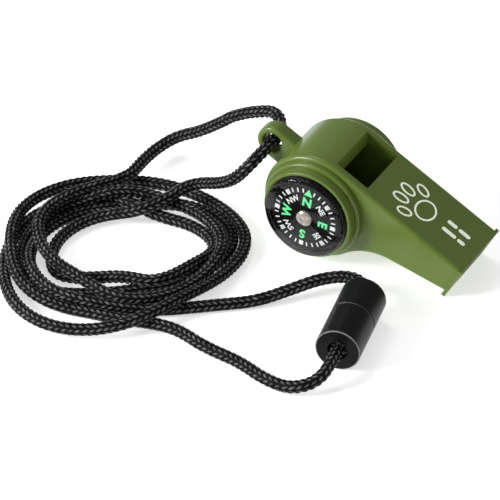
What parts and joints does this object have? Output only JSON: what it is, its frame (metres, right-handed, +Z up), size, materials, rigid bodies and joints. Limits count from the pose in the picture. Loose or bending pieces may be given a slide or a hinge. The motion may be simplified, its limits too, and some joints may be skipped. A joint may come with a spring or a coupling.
{
  "type": "training whistle",
  "caption": "Barrel pea whistle for dog training with a side compass, a side thermometer and a looped neck lanyard with a breakaway connector.",
  "frame": {"origin": "on the table, under the centre of the whistle's bounding box without the lanyard and its connector", "axes": "+X from the lanyard lug towards the mouthpiece, +Y towards the thermometer side, +Z up; the whistle lies at rest on its barrel and the lip of its mouthpiece"},
  "size_m": [0.1182, 0.0851, 0.0304],
  "materials": {
    "olive_plastic": "satin moulded",
    "capsule_black": "satin",
    "seal_rubber": "matte",
    "clear_cover": "polished",
    "card_black": "printed",
    "hub_pearl": "pearl",
    "magnet_steel": "ground",
    "pivot_steel": "polished",
    "dial_white": "printed",
    "bimetal": "rolled",
    "spindle_brass": "turned",
    "pointer_red": "painted",
    "pea_cork": "cork",
    "connector_black": "satin moulded",
    "lanyard_cord": "braided"
  },
  "bodies": {
    "whistle": {"whistle_body": "olive_plastic", "compass_cap": "olive_plastic", "thermometer_cap": "olive_plastic", "compass_cup": "capsule_black", "compass_gasket": "seal_rubber", "compass_lens": "clear_cover", "compass_pivot": "pivot_steel", "thermometer_cup": "capsule_black", "thermometer_gasket": "seal_rubber", "thermometer_lens": "clear_cover", "thermometer_dial": "dial_white", "thermometer_coil": "bimetal", "breakaway_socket": "connector_black", "socket_knot": "lanyard_cord", "lanyard_far_strand": "lanyard_cord", "lanyard_near_strand": "lanyard_cord", "lanyard_socket_tail": "lanyard_cord", "lanyard_plug_tail": "lanyard_cord", "lanyard_coil": "lanyard_cord"},
    "compass_rose": {"compass_card": "card_black", "compass_hub": "hub_pearl", "compass_magnet": "magnet_steel"},
    "thermometer_needle": {"thermometer_pointer": "pointer_red", "thermometer_spindle": "spindle_brass"},
    "rolling_pea": {"pea": "pea_cork"},
    "lanyard_plug": {"breakaway_plug": "connector_black", "snap_insert": "connector_black", "plug_knot": "lanyard_cord"}
  },
  "joints": [
    {"name": "compass_turn", "type": "hinge", "parent": "whistle", "child": "compass_rose", "pos_m": [-0.01076, -0.014, 0.0152], "axis": [0, -1, 0], "continuous": true},
    {"name": "needle_turn", "type": "hinge", "parent": "whistle", "child": "thermometer_needle", "pos_m": [-0.01076, 0.0143, 0.0152], "axis": [0, -1, 0], "range_deg": [-168.75, 101.25], "stiffness_Nm_per_rad": 0.000002},
    {"name": "pea_roll", "type": "hinge", "parent": "whistle", "child": "rolling_pea", "pos_m": [-0.01076, 0.0011, 0.0152], "axis": [0, -1, 0], "continuous": true},
    {"name": "breakaway_pull", "type": "slide", "parent": "whistle", "child": "lanyard_plug", "axis": [-0.1971, 0.9804, 0], "range_m": [0, 0.008], "deforming": ["lanyard_plug_tail"]}
  ]
}
